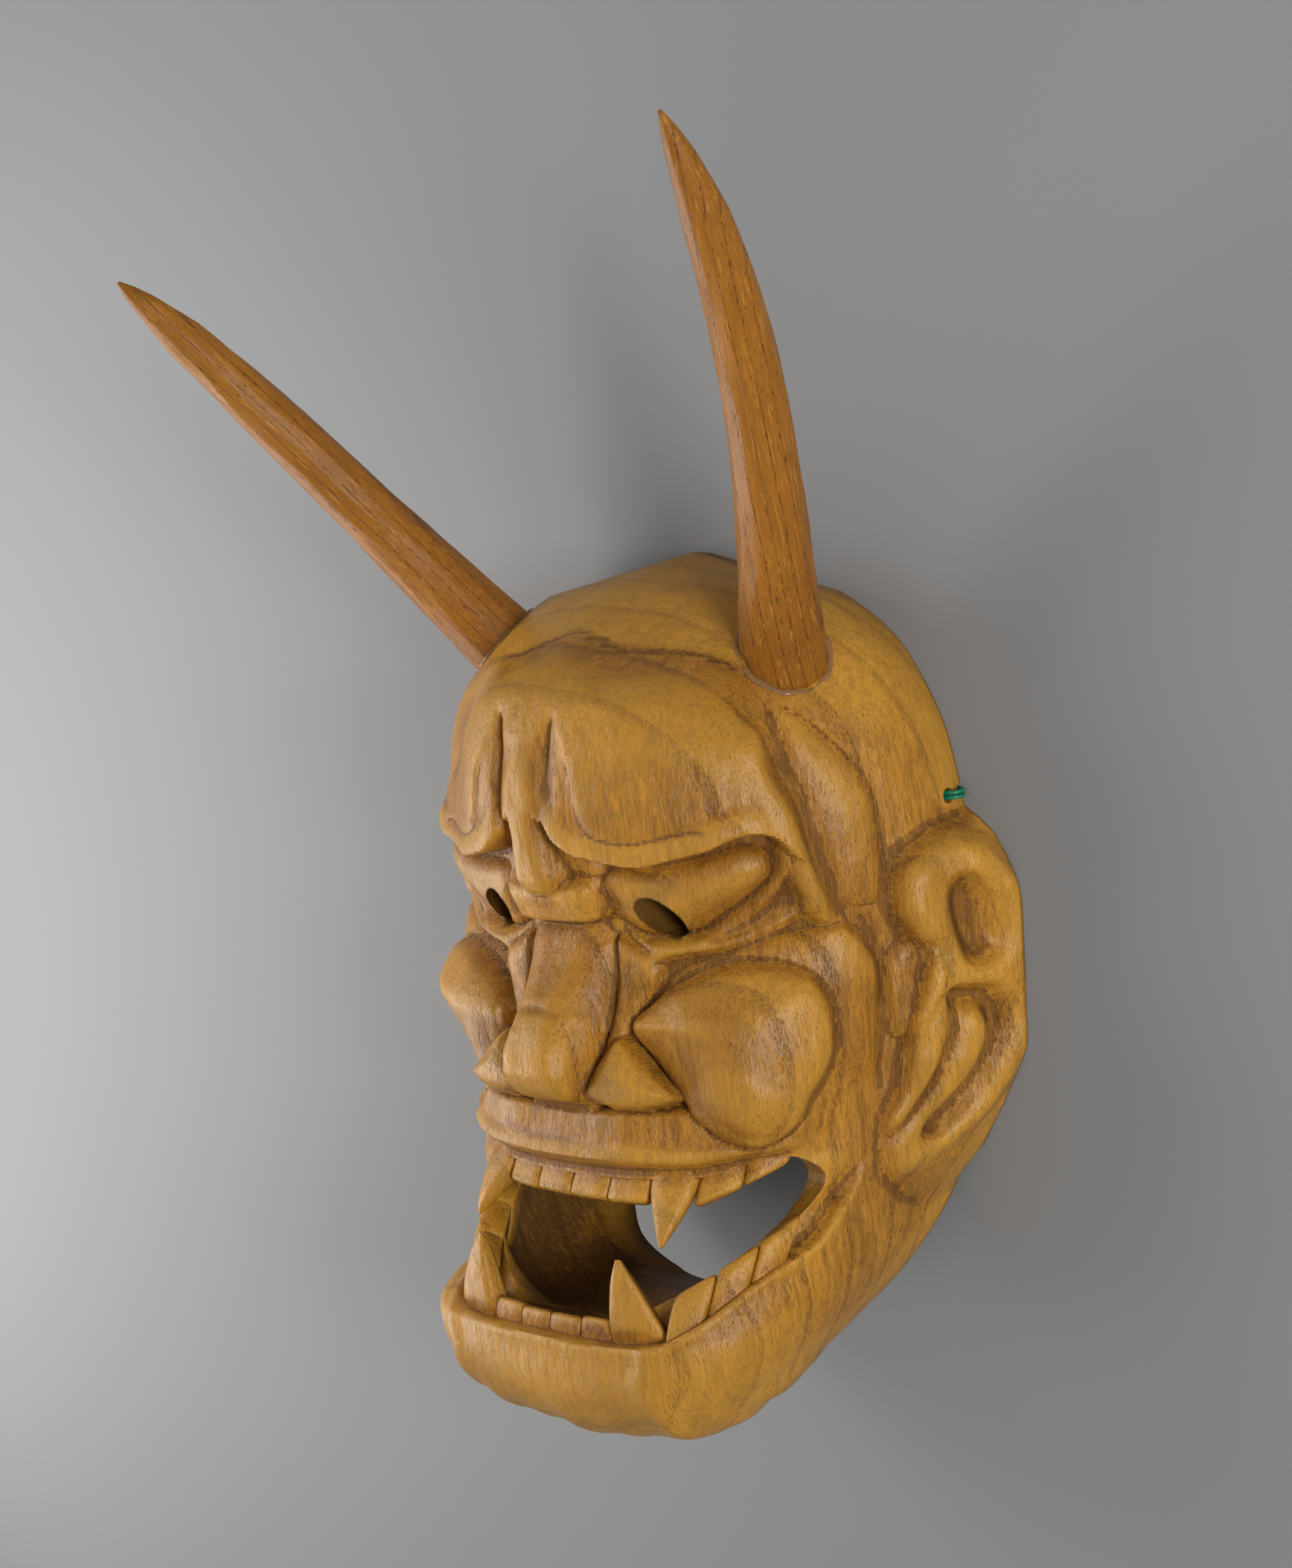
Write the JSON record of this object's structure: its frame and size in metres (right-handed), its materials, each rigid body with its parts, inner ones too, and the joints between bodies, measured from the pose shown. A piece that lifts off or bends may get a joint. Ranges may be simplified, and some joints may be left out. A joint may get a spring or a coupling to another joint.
{
  "type": "hannya mask",
  "caption": "Carved wooden hannya demon mask with open fanged mouth, eared shell hollowed behind, long curved horns glued on and a thin hanging cord, lying on its back rim",
  "frame": {"origin": "middle of the length and width, on the surface that the mask's back rim lies on", "axes": "+Z is the way the face looks, straight up as the mask lies; +Y runs from the chin to the crown and horns; +X is the right side of someone looking down at the face"},
  "size_m": [0.206, 0.3433, 0.111],
  "materials": {
    "face_wood": "oiled pale golden hardwood, knife-cut, satin",
    "horn_wood": "redder straight-grained wood, whittled in long facets, satin",
    "cord": "thin glossy green synthetic cord"
  },
  "bodies": {
    "root": {"mask": "face_wood", "horn_left": "horn_wood", "horn_right": "horn_wood", "cord_winding_left": "cord", "cord_winding_right": "cord", "cord_run": "cord"}
  },
  "joints": []
}
